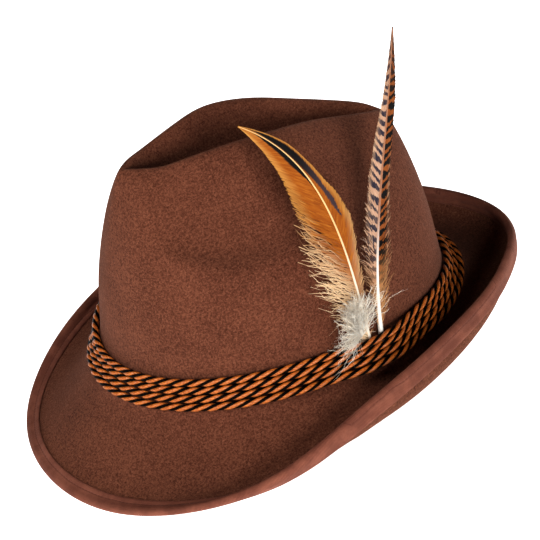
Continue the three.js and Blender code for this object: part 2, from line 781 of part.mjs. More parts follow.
const box = new THREE.Box3();
pieces.forEach((piece) => {
  const points = piece.geometry.attributes.position;
  box.union(new THREE.Box3().setFromBufferAttribute(points));
});
const middle = box.getCenter(new THREE.Vector3());
const hat = new THREE.Group();
pieces.forEach((piece) => {
  const { geometry } = piece;
  geometry.translate(-middle.x, -middle.y, -box.min.z - FLATTENING);
  if (piece.soft) {
    const positions = geometry.attributes.position;
    for (let i = 0; i < positions.count; i += 1) positions.setZ(i, Math.max(positions.getZ(i), 0));
  }
  geometry.computeVertexNormals();
  const mesh = new THREE.Mesh(geometry, materials[piece.material]);
  mesh.name = piece.name;
  hat.add(mesh);
});

export default hat;
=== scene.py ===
# %% [markdown]
# # A tyrolean hat
#
# The hat is one shell of brown wool felt. Its brim is bound with tape, four twisted cords
# lie on the foot of the crown, and two feathers with a tuft of down are tucked in behind
# them. The solids of all these pieces are already there at their real size. This notebook
# gives each of them its finish, and it never moves them.

import math

import bmesh
import bpy
import numpy as np
from mathutils import Matrix, Vector


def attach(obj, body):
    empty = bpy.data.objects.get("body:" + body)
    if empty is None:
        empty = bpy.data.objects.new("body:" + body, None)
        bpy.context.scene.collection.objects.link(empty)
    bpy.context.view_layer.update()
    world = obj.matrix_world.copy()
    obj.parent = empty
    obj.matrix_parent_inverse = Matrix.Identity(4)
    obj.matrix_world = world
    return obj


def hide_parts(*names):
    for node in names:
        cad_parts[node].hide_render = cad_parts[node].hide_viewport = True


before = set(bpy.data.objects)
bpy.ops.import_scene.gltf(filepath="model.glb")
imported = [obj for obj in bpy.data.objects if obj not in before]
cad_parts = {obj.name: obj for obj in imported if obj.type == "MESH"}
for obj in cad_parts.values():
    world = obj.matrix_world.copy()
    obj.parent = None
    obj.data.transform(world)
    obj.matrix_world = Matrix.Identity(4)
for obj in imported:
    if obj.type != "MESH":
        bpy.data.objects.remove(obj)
scene = bpy.context.scene
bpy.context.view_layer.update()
MM = 0.001
FULL_TURN = 2 * math.pi
print("solids:", sorted(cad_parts))

# %% [markdown]
# ## Camera
#
# A product photo of a hat is taken from a little above with a long lens, which keeps the
# crown and the brim in proportion. Three angles and a distance place the camera here. The
# photo's frame is square. The hat stands level, so the camera is rolled to see it at the
# angle of the photo.

# %% Camera
CAMERA_AZIMUTH = 72.8
CAMERA_ELEVATION = 35.1
CAMERA_ROLL = 17.4
CAMERA_DISTANCE = 1.599
CAMERA_LENS = 184.4
AIM = Vector((-0.0136, 0.0117, 0.0444))


def direction_to_camera(azimuth, elevation):
    """Unit vector from the hat to the camera; azimuth 0 stands in front and looks along +Y."""
    turn, rise = math.radians(azimuth), math.radians(elevation)
    return Vector((
        math.sin(turn) * math.cos(rise),
        -math.cos(turn) * math.cos(rise),
        math.sin(rise),
    ))


def look_from(place, aim, roll=0.0):
    """World matrix of an object at place whose -Z axis points at aim."""
    turned = (aim - place).to_track_quat("-Z", "Y").to_matrix().to_4x4()
    return Matrix.Translation(place) @ turned @ Matrix.Rotation(math.radians(roll), 4, "Z")


camera_data = bpy.data.cameras.new("camera")
camera_data.lens = CAMERA_LENS
camera_data.sensor_width = 36
camera_data.clip_start = 0.05
camera = bpy.data.objects.new("camera", camera_data)
scene.collection.objects.link(camera)
to_camera = direction_to_camera(CAMERA_AZIMUTH, CAMERA_ELEVATION)
camera.matrix_world = look_from(AIM + to_camera * CAMERA_DISTANCE, AIM, -CAMERA_ROLL)
bpy.context.scene.camera = camera
scene.view_settings.view_transform = "Standard"
scene.view_settings.look = "None"

# %% [markdown]
# ## Node trees as formulas
#
# Materials and Geometry Nodes are trees of small nodes. Wiring them one by one hides what
# they work out, so one small class wraps an output socket and gives it the arithmetic of a
# number. `mask * 0.5 + 1` then adds its Math nodes by itself. Every other node comes from
# one call, which takes the node's type, its settings and what goes into it.

# %% Tree helpers


def pick(sockets, key):
    """The socket at an index, or the first one in use with a name."""
    if isinstance(key, int):
        return sockets[key]
    return next(socket for socket in sockets if socket.name == key and socket.enabled)


def is_vector(value):
    """True for a vector or a colour, whether it's a wire or a plain value."""
    if isinstance(value, Wire):
        return value.socket.type in ("VECTOR", "RGBA")
    return isinstance(value, tuple)


def formula(operation):
    """A method that adds the node for one sign of a formula."""
    def add_node(self, other):
        return self.make.sum(operation, self, other)
    return add_node


class Wire:
    """An output socket that can be used in a formula."""

    __add__ = formula("ADD")
    __sub__ = formula("SUBTRACT")
    __mul__ = formula("MULTIPLY")
    __truediv__ = formula("DIVIDE")
    __pow__ = formula("POWER")
    __gt__ = formula("GREATER_THAN")
    __lt__ = formula("LESS_THAN")
    higher = formula("MAXIMUM")
    lower = formula("MINIMUM")

    def __init__(self, make, node, output):
        self.make, self.node, self.socket = make, node, pick(node.outputs, output)

    def __rsub__(self, other):
        return self.make.sum("SUBTRACT", other, self)

    def out(self, name):
        """Another output of the same node."""
        return Wire(self.make, self.node, name)

    def single(self, operation):
        """A Math node with one input, such as SINE or FLOOR."""
        return self.make("ShaderNodeMath", {"operation": operation}, {0: self})

    def wave(self):
        """0 to 1 and back once for each unit."""
        return (self * FULL_TURN).single("SINE") * 0.5 + 0.5

    def clamp(self):
        """Cut off below 0 and above 1."""
        return self.higher(0.0).lower(1.0)

    def between(self, low, high):
        """0 at low, 1 at high, and a soft step in between."""
        ends = {"Value": self, "From Min": low, "From Max": high}
        return self.make("ShaderNodeMapRange", {"interpolation_type": "SMOOTHSTEP"}, ends, "Result")


class Maker:
    """Adds nodes to one tree."""

    def __init__(self, tree):
        self.tree = tree

    def __call__(self, kind, settings=None, values=None, output=0):
        node = self.tree.nodes.new(kind)
        for name, value in (settings or {}).items():
            setattr(node, name, value)
        for name, value in (values or {}).items():
            socket = pick(node.inputs, name)
            for source in value if isinstance(value, list) else [value]:
                if isinstance(source, Wire):
                    self.tree.links.new(source.socket, socket)
                else:
                    socket.default_value = source
        return Wire(self, node, output) if node.outputs else None

    def sum(self, operation, first, second):
        """Arithmetic of numbers, of vectors, or of a vector and a number that scales it."""
        vectors = [is_vector(first), is_vector(second)]
        if not any(vectors):
            return self("ShaderNodeMath", {"operation": operation}, {0: first, 1: second})
        if all(vectors):
            return self("ShaderNodeVectorMath", {"operation": operation}, {0: first, 1: second})
        vector, number = (first, second) if vectors[0] else (second, first)
        values = {0: vector, "Scale": number}
        return self("ShaderNodeVectorMath", {"operation": "SCALE"}, values)

    def mix(self, share, first, second):
        """Colour mix; the two ends are wires or colours."""
        ends = [c if isinstance(c, Wire) else (*c, 1) for c in (first, second)]
        values = {0: share, 6: ends[0], 7: ends[1]}
        return self("ShaderNodeMix", {"data_type": "RGBA"}, values, 2)

    def ramp(self, share, *stops):
        """Colour by a share from 0 to 1; a stop is its place and its colour."""
        made = self("ShaderNodeValToRGB", None, {"Fac": share}, "Color")
        elements = made.node.color_ramp.elements
        while len(elements) < len(stops):
            elements.new(0.5)
        for element, (place, colour) in zip(elements, stops):
            element.position, element.color = place, (*colour, 1)
        return made

    def noise(self, vector, scale, detail=2.0, roughness=0.5, distortion=0.0):
        values = {"Vector": vector, "Scale": scale, "Detail": detail,
                  "Roughness": roughness, "Distortion": distortion}
        return self("ShaderNodeTexNoise", None, values, "Fac")

    def stretched(self, vector, scale, turn=(0, 0, 0)):
        """Coordinates squeezed along the axes and turned, for streaks."""
        values = {"Vector": vector, "Scale": scale, "Rotation": turn}
        return self("ShaderNodeMapping", {"vector_type": "POINT"}, values)

    def combine(self, x, y, z):
        return self("ShaderNodeCombineXYZ", None, {"X": x, "Y": y, "Z": z})

    def cross(self, first, second):
        """The vector at right angles to two others."""
        values = {0: first, 1: second}
        return self("ShaderNodeVectorMath", {"operation": "CROSS_PRODUCT"}, values)

    def place(self):
        """Where the shaded point lies, in metres."""
        return self("ShaderNodeTexCoord", None, None, "Object")

    def unrolled(self, name):
        """The two numbers of a UV map of the piece."""
        read = self("ShaderNodeUVMap", {"uv_map": name})
        split = self("ShaderNodeSeparateXYZ", None, {"Vector": read})
        return split.out("X"), split.out("Y")

    def surface(self, name):
        """The parts of a three-number attribute that the piece's mesh carries."""
        read = self("ShaderNodeAttribute", {"attribute_name": name}, None, "Vector")
        return self("ShaderNodeSeparateXYZ", None, {"Vector": read})


def srgb(red, green, blue):
    """A colour given as the eight-bit numbers that a screen shows."""
    def linear(value):
        value /= 255
        return value / 12.92 if value <= 0.04045 else ((value + 0.055) / 1.055) ** 2.4
    return (linear(red), linear(green), linear(blue))


def material(name, roughness, **sockets):
    """A material with a Principled shader. Returns it, its maker and the shader's node."""
    made = bpy.data.materials.new(name)
    made.use_nodes = True
    shader = made.node_tree.nodes["Principled BSDF"]
    shader.inputs["Roughness"].default_value = roughness
    for socket, value in sockets.items():
        shader.inputs[socket.replace("_", " ")].default_value = value
    return made, Maker(made.node_tree), shader


def feed(make, shader, colour, height=None, distance=0.0, strength=1.0):
    """Links a colour to the shader, and a bump: its height from 0 to 1 of a distance."""
    links = make.tree.links
    links.new(colour.socket, shader.inputs["Base Color"])
    if height is not None:
        values = {"Strength": strength, "Distance": distance, "Height": height}
        bump = make("ShaderNodeBump", None, values)
        links.new(bump.socket, shader.inputs["Normal"])


# %% [markdown]
# ## Mesh helpers
#
# A solid of the frame is a bag of loose triangles. A copy of it is merged and its
# triangles are paired into quads again, because subdivision keeps a smooth flow only over
# quads. The copy, not the solid itself, then gets the finer surface.

# %% Mesh helpers


def new_object(name, mesh):
    made = bpy.data.objects.new(name, mesh)
    scene.collection.objects.link(made)
    return made


def merged_copy(node):
    """A bmesh of a solid with shared corners and, where they pair up, quads."""
    work = bmesh.new()
    work.from_mesh(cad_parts[node].data)
    bmesh.ops.remove_doubles(work, verts=work.verts, dist=0.02 * MM)
    bmesh.ops.join_triangles(
        work, faces=work.faces, angle_face_threshold=math.radians(60),
        angle_shape_threshold=math.radians(60),
    )
    return work


def finish_bmesh(work, name):
    """A smooth-shaded object from a bmesh."""
    mesh = bpy.data.meshes.new(name)
    work.to_mesh(mesh)
    work.free()
    made = new_object(name, mesh)
    for polygon in mesh.polygons:
        polygon.use_smooth = True
    return made


def apply_modifiers(piece):
    """Turns the evaluated piece into a plain mesh."""
    graph = bpy.context.evaluated_depsgraph_get()
    mesh = bpy.data.meshes.new_from_object(piece.evaluated_get(graph))
    piece.modifiers.clear()
    old = piece.data
    piece.data = mesh
    bpy.data.meshes.remove(old)
    return piece


def subdivide(piece, levels):
    modifier = piece.modifiers.new("smooth", "SUBSURF")
    modifier.levels = modifier.render_levels = levels
    return apply_modifiers(piece)


def cover(piece, surface):
    """Gives the whole piece one material."""
    piece.data.materials.clear()
    piece.data.materials.append(surface)


def replace_nodes(piece, slot, *nodes):
    """Puts the finished piece in the place of its solids."""
    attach(piece, "root")
    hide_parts(*nodes)
    count = sum(len(polygon.vertices) - 2 for polygon in piece.data.polygons)
    print(piece.name, "has", count, "triangles")


# %% [markdown]
# ## Wool felt
#
# Hat felt is pressed wool. It has no weave, so it's a cloud of fine fibres in all
# directions, with soft mottling from the dye bath and a bloom of light where it turns away
# from the eye. Three noises stretched along different axes give the streaks of the fibres,
# a coarse one gives the mottling, and the sheen of the shader gives the bloom. The colour
# follows the bump, so it's lighter on top than in the hollows, which is painted shade.

# %% Felt material
FELT_LIGHT = srgb(148, 95, 72)
FELT_MIDDLE = srgb(114, 68, 49)
FELT_DARK = srgb(70, 35, 22)
FELT_BLOOM = (*srgb(214, 160, 138), 1)
FELT_RELIEF = 0.5 * MM
FIBRE_SCALE = 1250
PRESSED_SCALE = 800
MOTTLING_SCALE = 45
FIBRE_WAYS = (
    # squeeze along the axes, turn of the axes
    ((1, 0.22, 1), (0.4, 0.2, 0.6)),
    ((0.25, 1, 1), (0.9, 1.1, -0.5)),
    ((1, 1, 0.24), (-0.6, 0.5, 1.9)),
)


def felt_material():
    """Fibres in three ways, pressed hollows with painted shade in them, and mottling."""
    made, make, shader = material(
        "wool_felt", 0.95, Sheen_Weight=0.25, Sheen_Roughness=0.5, Sheen_Tint=FELT_BLOOM,
        Specular_IOR_Level=0.15,
    )
    place = make.place()
    first, second, third = (
        make.noise(make.stretched(place, *way), FIBRE_SCALE, 3, 0.7, 0.6) for way in FIBRE_WAYS)
    fibres = first.higher(second).higher(third).between(0.4, 0.8)
    mottling = make.noise(place, MOTTLING_SCALE, 3, 0.5).between(0.25, 0.75)
    pressed = make.noise(place, PRESSED_SCALE, 3, 0.6).between(0.3, 0.7)
    # The tone follows the bump: the hollows of the fibres and of the pressed relief get painted
    # shade and their tops are painted lighter; only the mottling is the felt's own tone.
    tone = (fibres * 0.62 + pressed * 0.28 + mottling * 0.1).clamp()
    colour = make.ramp(tone, (0.1, FELT_DARK), (0.5, FELT_MIDDLE), (0.9, FELT_LIGHT))
    feed(make, shader, colour, fibres * 0.6 + pressed * 0.4, FELT_RELIEF, 0.7)
    return made


# %% [markdown]
# ## Felt body
#
# The shell's own solid has the right form, with the crease, the dents and the rolled
# brim, but in facets. Subdivision of the merged copy rounds them. The wall keeps its
# thickness, because inside and outside are parts of one closed skin.

# %% Felt body
hat = finish_bmesh(merged_copy("felt_body"), "felt_shell")
subdivide(hat, 2)
cover(hat, felt_material())
replace_nodes(hat, "felt", "felt_body")

# %% [markdown]
# ## Binding tape
#
# The tape is woven, with fine ribs straight across it, and it's folded over the edge. The
# ribs have to follow the edge round the hat, so the copy gets a UV map of its own: one
# number runs along the edge in metres, and the other across the tape.

# %% Binding
RIB = 0.75 * MM
SEAM = 6.4 * MM
STITCH = 2.6 * MM
TAPE_LIGHT = srgb(160, 102, 81)
TAPE_MIDDLE = srgb(131, 78, 60)
TAPE_DARK = srgb(94, 49, 37)
TAPE_BLOOM = (*srgb(222, 170, 150), 1)
TAPE_RELIEF = 0.35 * MM
EDGE_STEPS = 180


def seen_from_middle(spots):
    """Direction and distance of each spot from the middle of the ring that it lies on."""
    middle = (spots.min(0) + spots.max(0)) / 2
    x, y = spots[:, 0] - middle[0], spots[:, 1] - middle[1]
    return np.arctan2(x, -y), np.hypot(x, y)


def edge_line(spots):
    """Direction of each spot, and the outermost spots with their directions, as a line."""
    turn, reach = seen_from_middle(spots)
    half_step = math.pi / EDGE_STEPS
    angles, line = [], []
    for i in range(EDGE_STEPS):
        aim = FULL_TURN * i / EDGE_STEPS
        near = np.abs(np.mod(turn - aim + math.pi, FULL_TURN) - math.pi)
        inside = np.where(near < half_step)[0]
        outermost = inside[np.argmax(reach[inside])]
        angles.append(np.mod(turn[outermost] + half_step, FULL_TURN))
        line.append(spots[outermost])
    return np.mod(turn + half_step, FULL_TURN), np.array(angles), np.array(line)


def along_line(turn, angles, line, spots):
    """Length of the line up to each spot, its whole length, and each spot's gap to it."""
    ends = np.roll(line, -1, axis=0)
    lengths = np.linalg.norm(ends - line, axis=1)
    starts = np.concatenate([[0], np.cumsum(lengths)])
    turn = np.where(turn < angles[0], turn + FULL_TURN, turn)
    along = np.interp(turn, [*angles, angles[0] + FULL_TURN], starts)
    gap = np.full(len(spots), np.inf)
    for start, end, length in zip(line, ends, lengths):
        share = np.clip((spots - start) @ (end - start) / length**2, 0, 1)
        nearest = share[:, None] * (end - start)
        gap = np.minimum(gap, np.linalg.norm(spots - start - nearest, axis=1))
    return along, starts[-1], gap


def tape_material():
    """Ribs across the tape, wear, and a stitched seam along its inner part."""
    made, make, shader = material(
        "ribbed_tape", 0.8, Sheen_Weight=0.2, Sheen_Roughness=0.4, Sheen_Tint=TAPE_BLOOM,
        Specular_IOR_Level=0.25,
    )
    along, inward = make.unrolled("tape")
    place = make.place()
    wobble = make.noise(place, 500, 2) * 0.35
    rib = (along / RIB + wobble).wave()
    seam = 1 - (inward - SEAM).single("ABSOLUTE").between(0.2 * MM, 0.5 * MM)
    stitch = seam * (along / STITCH).wave().between(0.3, 0.5)
    worn = make.noise(place, 90, 4, 0.6).between(0.35, 0.7)
    fibre = make.noise(place, 2600, 2)
    tone = (rib * 0.4 + worn * 0.3 + fibre * 0.3).clamp()
    colour = make.ramp(tone, (0.1, TAPE_DARK), (0.55, TAPE_MIDDLE), (0.95, TAPE_LIGHT))
    colour = make.mix(seam * 0.3 + stitch * 0.3, colour, TAPE_DARK)
    feed(make, shader, colour, rib * 0.5 + fibre * 0.3 - seam + stitch * 0.6, TAPE_RELIEF, 0.7)
    return made


def unroll_tape(tape):
    """Gives the tape its UV map and returns the length of its edge. Faces that span the
    start of the map count on past its end."""
    spots = np.array([v.co for v in tape.data.vertices])
    along, length, gap = along_line(*edge_line(spots), spots)
    layer = tape.data.uv_layers.new(name="tape")
    for polygon in tape.data.polygons:
        places = [along[vertex] for vertex in polygon.vertices]
        wraps = max(places) - min(places) > length / 2
        for loop, vertex, place in zip(polygon.loop_indices, polygon.vertices, places):
            place += length if wraps and place < length / 2 else 0
            layer.data[loop].uv = (place, gap[vertex])
    return length


binding = subdivide(finish_bmesh(merged_copy("brim_binding"), "edge_tape"), 2)
print("edge of the brim in metres:", round(unroll_tape(binding), 3))
cover(binding, tape_material())
replace_nodes(binding, "tape", "brim_binding")

# %% [markdown]
# ## Twisted cords
#
# Each cord is laid up like a rope: two fat strands of shiny orange yarn with two thinner
# black ones between them. A texture on a tube would show no gaps, so every strand is real:
# a helix wound round the cord's own route, which is read from the solid that it replaces.
# The number of turns is whole, so that the ring closes on itself.

# %% Cords
CORD_SECTIONS = 56
CORD_SIDES = 8
CORD_TURNS = 33
STRAND_STEPS = 16
PAIRS = 2
CORD_RADIUS = 2.22 * MM
CORD_PHASES = (0.4, 2.5, 1.2, 3.0)
ORANGE_RADIUS = 1.16 * MM
BLACK_RADIUS = 0.92 * MM
BLACK_SINK = 0.12 * MM
CORE_RADIUS = 1.05 * MM
ORANGE_SIDES = 8
BLACK_SIDES = 6
YARN_SLANT = 0.35
YARN_LINES = 7
YARN_RELIEF = 0.12 * MM


def ring_sections(node):
    """Corners of a cord's solid, sorted into its sections round the hat."""
    work = merged_copy(node)
    spots = np.array([v.co for v in work.verts])
    work.free()
    turn = np.mod(seen_from_middle(spots)[0] + math.pi / CORD_SECTIONS, FULL_TURN)
    return spots[np.argsort(turn)].reshape(CORD_SECTIONS, CORD_SIDES, 3)


def cord_route(node, steps):
    """Closed smooth route of a cord, with its outward and upward directions at each point."""
    middles = ring_sections(node).mean(axis=1)
    shares = np.arange(steps) / steps * len(middles)
    index = shares.astype(int)
    t = (shares - index)[:, None]
    p = [middles[(index + k) % len(middles)] for k in (-1, 0, 1, 2)]
    route = 0.5 * (
        2 * p[1] + (p[2] - p[0]) * t
        + (2 * p[0] - 5 * p[1] + 4 * p[2] - p[3]) * t**2
        + (3 * p[1] - 3 * p[2] + p[3] - p[0]) * t**3
    )
    forward = np.roll(route, -1, axis=0) - np.roll(route, 1, axis=0)
    forward /= np.linalg.norm(forward, axis=1)[:, None]
    outward = np.cross(forward, (0, 0, 1))
    outward /= np.linalg.norm(outward, axis=1)[:, None]
    return route, outward, np.cross(outward, forward)


def ring_tube(path, radius, sides, outward, upward):
    """Corners and faces of a closed tube round a closed path."""
    turns = FULL_TURN * np.arange(sides) / sides
    circle = (
        np.cos(turns)[None, :, None] * outward[:, None, :]
        + np.sin(turns)[None, :, None] * upward[:, None, :]
    )
    corners = (path[:, None, :] + radius * circle).reshape(-1, 3)
    count = len(path)
    faces = []
    for i in range(count):
        near, far = i * sides, (i + 1) % count * sides
        for k in range(sides):
            other = (k + 1) % sides
            faces.append((near + k, near + other, far + other, far + k))
    return corners, faces


def join_parts(name, parts, materials):
    """One mesh from (corners, faces, material index, uv for each corner) parts."""
    corners, faces, indices, coords = [], [], [], []
    start = 0
    for part_corners, part_faces, index, part_uv in parts:
        corners.append(part_corners)
        faces += [tuple(start + c for c in face) for face in part_faces]
        indices += [index] * len(part_faces)
        coords.append(part_uv)
        start += len(part_corners)
    mesh = bpy.data.meshes.new(name)
    mesh.from_pydata(np.concatenate(corners).tolist(), [], faces)
    for surface in materials:
        mesh.materials.append(surface)
    mesh.polygons.foreach_set("material_index", indices)
    mesh.polygons.foreach_set("use_smooth", [True] * len(faces))
    layer = mesh.uv_layers.new(name="strand")
    coords = np.concatenate(coords)
    loops = np.empty(len(mesh.loops), int)
    mesh.loops.foreach_get("vertex_index", loops)
    layer.data.foreach_set("uv", coords[loops].ravel())
    mesh.update()
    return new_object(name, mesh)


def yarn_material(name, dark, light, shine):
    """Smooth spun yarn: fine fibres that run along the strand at a slight slant."""
    made, make, shader = material(name, 0.42, Specular_IOR_Level=shine)
    along, around = make.unrolled("strand")
    lines = ((along * YARN_SLANT + around) * YARN_LINES).wave()
    soft = make.noise(make.place(), 900, 2).between(0.3, 0.7)
    colour = make.mix(lines * 0.45 + soft * 0.55, dark, light)
    feed(make, shader, colour, lines * 0.7 + soft * 0.3, YARN_RELIEF, 0.5)
    return made


orange_yarn = yarn_material("orange_yarn", srgb(150, 66, 14), srgb(222, 132, 50), 0.6)
black_yarn = yarn_material("black_yarn", srgb(3, 1, 1), srgb(9, 5, 4), 0.05)


def twisted_cord(name, node, phase):
    """Orange and black strands by turns round the cord's route, and a black core inside."""
    steps = CORD_TURNS * STRAND_STEPS
    route, outward, upward = cord_route(node, steps)
    lay = FULL_TURN * CORD_TURNS * np.arange(steps) / steps + phase
    parts = []
    for index in range(2 * PAIRS):
        black = index % 2
        radius, sides, sink = (
            (BLACK_RADIUS, BLACK_SIDES, BLACK_SINK) if black else (ORANGE_RADIUS, ORANGE_SIDES, 0))
        reach = CORD_RADIUS - radius - sink
        angle = (lay + math.pi * index / PAIRS)[:, None]
        path = route + reach * (np.cos(angle) * outward + np.sin(angle) * upward)
        corners, faces = ring_tube(path, radius, sides, outward, upward)
        along = np.repeat(np.arange(steps) / STRAND_STEPS, sides) * 3
        around = np.tile(np.arange(sides) / sides, steps)
        parts.append((corners, faces, black, np.stack([along, around], axis=1)))
    corners, faces = ring_tube(route, CORE_RADIUS, BLACK_SIDES, outward, upward)
    parts.append((corners, faces, 1, np.zeros((len(corners), 2))))
    length = np.linalg.norm(np.roll(route, -1, 0) - route, axis=1).sum()
    print(node, "length in metres:", round(float(length), 3))
    return join_parts(name, parts, [orange_yarn, black_yarn])


for number, phase in enumerate(CORD_PHASES, 1):
    cord = twisted_cord(f"twisted_cord_{number}", f"cord_{number}", phase)
    replace_nodes(cord, "cord", f"cord_{number}")

# %% [markdown]
# ## Feathers
#
# A feather is a shaft with two rows of barbs. Each barb leaves the shaft at a slant
# towards the tip and clings to the next one, so together they look like a sheet that
# splits here and there. The barbs are placed by Geometry Nodes: the shaft is a line whose
# points carry the width of the vane, and one thin barb is set on every step, turned to
# its side and scaled to its length.

# %% Geometry trees


def geometry_tree(name, **sizes):
    """An empty geometry tree with named sizes. Returns it, its maker and its inputs."""
    tree = bpy.data.node_groups.new(name, "GeometryNodeTree")
    for way in ("INPUT", "OUTPUT"):
        tree.interface.new_socket("Geometry", in_out=way, socket_type="NodeSocketGeometry")
    for label, value in sizes.items():
        kind = "NodeSocketInt" if isinstance(value, int) else "NodeSocketFloat"
        socket = tree.interface.new_socket(label, in_out="INPUT", socket_type=kind)
        socket.default_value = value
    make = Maker(tree)
    return tree, make, make("NodeGroupInput")


def end_tree(make, branches):
    """Joins the branches into the tree's output."""
    joined = make("GeometryNodeJoinGeometry", None, {"Geometry": branches})
    make("NodeGroupOutput", None, {"Geometry": joined})


def grow(piece, tree, **sizes):
    """Runs a geometry tree on the piece and keeps the result as a plain mesh."""
    modifier = piece.modifiers.new(tree.name, "NODES")
    modifier.node_group = tree
    for socket in tree.interface.items_tree:
        if socket.in_out == "INPUT" and socket.name in sizes:
            modifier[socket.identifier] = sizes[socket.name]
    return apply_modifiers(piece)


# %% [markdown]
# A shaft is a Bezier curve from the quill's foot, which stays where the solid has it, to
# the solid's tip. Its points carry what the tree has to know: which way is forward and
# outward, and how far the vane reaches on each side. A barb runs towards the tip, so it
# is rooted lower than the edge that it makes, and the roots are worked back from there.

# %% Shafts
SHAFT_POINTS = 90
TUCK = 9 * MM


def unit(vectors):
    """The same directions at length 1."""
    return vectors / np.linalg.norm(vectors, axis=-1, keepdims=True)


def ends_of(node):
    """Foot of the quill and tip of the feather, read from the solid."""
    corners = np.array([v.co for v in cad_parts[node].data.vertices])
    foot = corners[corners[:, 2] < corners[:, 2].min() + 0.6 * MM].mean(axis=0)
    return foot, corners[corners[:, 2].argmax()]


def bezier(start, leave, arrive, end):
    """Points of a Bezier curve; its handles are in millimetres from its ends."""
    t = np.linspace(0, 1, SHAFT_POINTS)[:, None]
    first, last = start + np.array(leave) * MM, end + np.array(arrive) * MM
    return (
        (1 - t)**3 * start + 3 * (1 - t)**2 * t * first
        + 3 * (1 - t) * t**2 * last + t**3 * end
    )


def shaft_object(name, ends, handles, outward, width, rows, slant, bend, thick=(0, 0, 0)):
    """A line of points from foot to tip that carries the form of the vane. The rows give its
    reach and its looseness, in front and behind, by the place along the shaft."""
    foot, tip = ends
    leave, arrive = handles
    route = bezier(foot, leave, arrive, tip)
    forward = unit(np.gradient(route, axis=0))
    facing = np.array(outward, float)
    facing = unit(facing - (forward @ facing)[:, None] * forward)
    run = np.concatenate([[0], np.cumsum(np.linalg.norm(np.diff(route, axis=0), axis=1))])
    length = run[-1] - TUCK
    along = (run - TUCK) / length
    table = np.array(rows)
    lean = (math.cos(slant) + bend) / math.sin(slant)
    values = {"along": along}
    for column, side in ((1, "front"), (2, "back")):
        edge = np.linspace(0, 1, 200)
        reach = np.interp(edge, table[:, 0], table[:, column]) * width
        roots = np.maximum.accumulate(edge - reach * lean / length)
        values[f"{side}_reach"] = np.interp(along, roots, reach, left=0)
        values[f"{side}_loose"] = np.interp(along, table[:, 0], table[:, column + 2])
    values["thick"] = np.interp(along, (0, 0.15, 1), thick) * MM

    mesh = bpy.data.meshes.new(name)
    mesh.from_pydata(route.tolist(), [(i, i + 1) for i in range(SHAFT_POINTS - 1)], [])
    for label, numbers in values.items():
        mesh.attributes.new(label, "FLOAT", "POINT").data.foreach_set("value", numbers)
    for label, vectors in (("forward", forward), ("outward", facing)):
        layer = mesh.attributes.new(label, "FLOAT_VECTOR", "POINT")
        layer.data.foreach_set("vector", vectors.ravel())
    return new_object(name, mesh)


# %% [markdown]
# The tree turns the line into a feather. A barb starts as a thin box along X, cut into a
# few segments. One is set on every root with its X axis along the slant, and it's
# stretched to its length. After that the barbs are real, so each of their points can be
# bent towards the tip and drawn to the middle of its lock, the more the further out it
# lies. In a loose stretch the locks draw together hard and the vane opens between them.

# %% Vane tree
BARB_SEGMENTS = 8
BARB_POINT = 0.35
SHORTEST_BARB = 0.4 * MM
BARB_SCATTER, BARB_WIND = 0.5, 62.0


def named(make, label, kind="FLOAT"):
    """A number, or a vector, that the geometry carries on its points."""
    settings = {"data_type": kind}
    return make("GeometryNodeInputNamedAttribute", settings, {"Name": label}, "Attribute")


def store(make, geometry, label, value, kind="FLOAT"):
    """Writes a number, or a vector, on the points of the geometry."""
    settings = {"data_type": kind, "domain": "POINT"}
    values = {"Geometry": geometry, "Name": label, "Value": value}
    return make("GeometryNodeStoreNamedAttribute", settings, values)


def random_value(make, seed, low=0.0, high=1.0):
    """A number of its own for every point."""
    values = {"Min": low, "Max": high, "Seed": seed}
    return make("FunctionNodeRandomValue", {"data_type": "FLOAT"}, values, "Value")


def barb_blade(make, width, thickness):
    """A flat tapered blade from 0 to 1 on X, with its share of the way out in "across"."""
    values = {"Size": (1, 1, 1), "Vertices X": BARB_SEGMENTS + 1, "Vertices Y": 2, "Vertices Z": 2}
    box = make("GeometryNodeMeshCube", None, values)
    spot = make("GeometryNodeInputPosition")
    x, y, z = (make("ShaderNodeSeparateXYZ", None, {"Vector": spot}, axis) for axis in "XYZ")
    across = x + 0.5
    taper = 1 - across**3 * (1 - BARB_POINT)
    shaped = make.combine(across, y * width * taper, z * thickness * taper)
    stored = store(make, box, "across", across)
    return make("GeometryNodeSetPosition", None, {"Geometry": stored, "Position": shaped})


def shaft_roots(make, size, count):
    """The shaft as a curve, and the points on it where barbs or wisps are rooted."""
    shaft = make("GeometryNodeMeshToCurve", None, {"Mesh": size.out("Geometry")}, "Curve")
    values = {"Curve": shaft, "Count": size.out(count)}
    return shaft, make("GeometryNodeResampleCurve", {"mode": "COUNT"}, values)


def shaft_axes(make):
    """Which way is forward along the shaft, and which way is out from the hat."""
    return named(make, "forward", "FLOAT_VECTOR"), named(make, "outward", "FLOAT_VECTOR")


def plant(make, roots, model, heading, facing, width, shortest):
    """Sets the model on every root that has a length, stretched to it, and makes it real."""
    settings = {"primary_axis": "X", "secondary_axis": "Z"}
    turn = {"Primary Axis": heading, "Secondary Axis": facing}
    rotation = make("FunctionNodeAxesToRotation", settings, turn)
    length = named(make, "length")
    values = {"Points": roots, "Selection": length > shortest, "Instance": model,
              "Rotation": rotation, "Scale": make.combine(length, width, width)}
    planted = make("GeometryNodeInstanceOnPoints", None, values)
    return make("GeometryNodeRealizeInstances", None, {"Geometry": planted})


def wind(make, scatter, scale):
    """A smooth field of pushes to all sides, which reaches each barb at another place."""
    chance = named(make, "random")
    spot = make("GeometryNodeInputPosition") + make.combine(chance * scatter, chance * 0.3, 0.0)
    values = {"Vector": spot, "Scale": scale, "Detail": 1.0}
    return make("ShaderNodeTexNoise", None, values, "Color") - (0.5, 0.5, 0.5)


def painted(make, geometry, mark, surface):
    """Leaves a mark for the material on the geometry and gives it that material."""
    marked = store(make, geometry, "vane", mark, "FLOAT_VECTOR")
    return make("GeometryNodeSetMaterial", None, {"Geometry": marked, "Material": surface})


